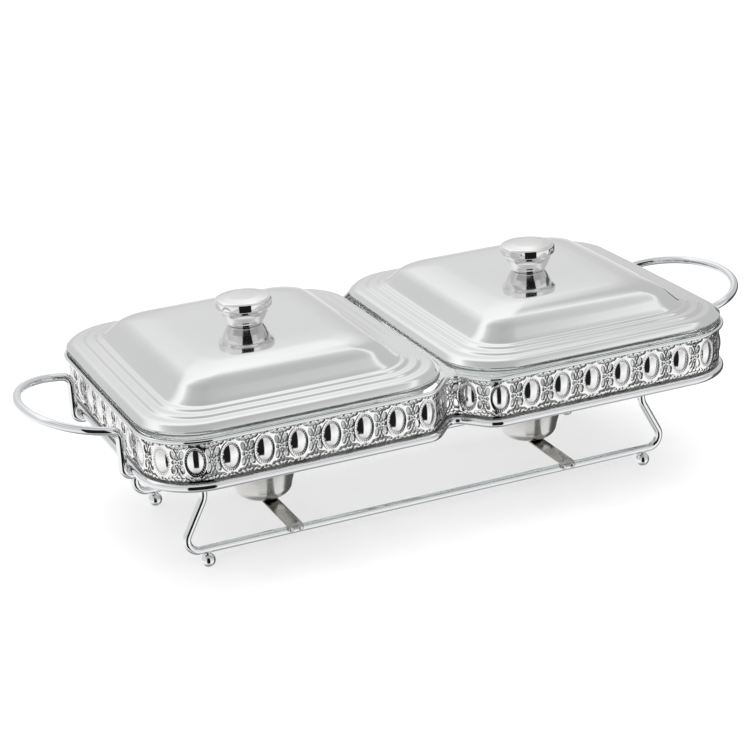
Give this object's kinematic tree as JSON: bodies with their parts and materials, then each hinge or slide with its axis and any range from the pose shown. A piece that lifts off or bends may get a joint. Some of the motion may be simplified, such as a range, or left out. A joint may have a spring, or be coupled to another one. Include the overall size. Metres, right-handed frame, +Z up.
{
  "type": "twin buffet food server",
  "caption": "Twin buffet food server: pierced band wire rack with ball feet and loop handles, nearly square glass dishes, domed lids with round knobs, candle cups beneath.",
  "frame": {"origin": "on the table under the centre of the rack", "axes": "+X along the row of dishes, +Y to the rear, +Z up"},
  "size_m": [0.555, 0.2426, 0.1691],
  "materials": {
    "chrome_wire": "bright plated wire",
    "pierced_band": "plated pressed sheet, darkened in the recesses",
    "ball_chrome": "bright plated",
    "strap_steel": "satin",
    "cup_chrome": "polished spun steel",
    "fastener_steel": "plain",
    "dish_glass": "clear pressed glass",
    "lid_steel": "satin polished stainless steel",
    "knob_chrome": "mirror polished"
  },
  "bodies": {
    "rack": {"bottom_rail": "chrome_wire", "front_band": "pierced_band", "front_leg": "chrome_wire", "left_candle_cup": "cup_chrome", "left_cup_rivet": "fastener_steel", "left_cup_strap": "strap_steel", "left_end_band": "pierced_band", "left_front_foot": "ball_chrome", "left_handle": "chrome_wire", "left_rear_foot": "ball_chrome", "rear_band": "pierced_band", "rear_leg": "chrome_wire", "right_candle_cup": "cup_chrome", "right_cup_rivet": "fastener_steel", "right_cup_strap": "strap_steel", "right_end_band": "pierced_band", "right_front_foot": "ball_chrome", "right_handle": "chrome_wire", "right_rear_foot": "ball_chrome", "top_rail": "chrome_wire"},
    "left_dish_body": {"left_dish": "dish_glass"},
    "right_dish_body": {"right_dish": "dish_glass"},
    "left_lid": {"left_lid_shell": "lid_steel", "left_knob_neck": "knob_chrome", "left_knob_cap": "knob_chrome", "left_knob_screw": "fastener_steel", "left_knob_washer": "fastener_steel"},
    "right_lid": {"right_lid_shell": "lid_steel", "right_knob_neck": "knob_chrome", "right_knob_cap": "knob_chrome", "right_knob_screw": "fastener_steel", "right_knob_washer": "fastener_steel"}
  },
  "joints": [
    {"name": "left_dish_lift", "type": "slide", "parent": "rack", "child": "left_dish_body", "axis": [0, 0, 1], "range_m": [0, 0.12]},
    {"name": "left_lid_lift", "type": "slide", "parent": "left_dish_body", "child": "left_lid", "axis": [0, 0, 1], "range_m": [0, 0.08]},
    {"name": "right_dish_lift", "type": "slide", "parent": "rack", "child": "right_dish_body", "axis": [0, 0, 1], "range_m": [0, 0.12]},
    {"name": "right_lid_lift", "type": "slide", "parent": "right_dish_body", "child": "right_lid", "axis": [0, 0, 1], "range_m": [0, 0.08]}
  ]
}
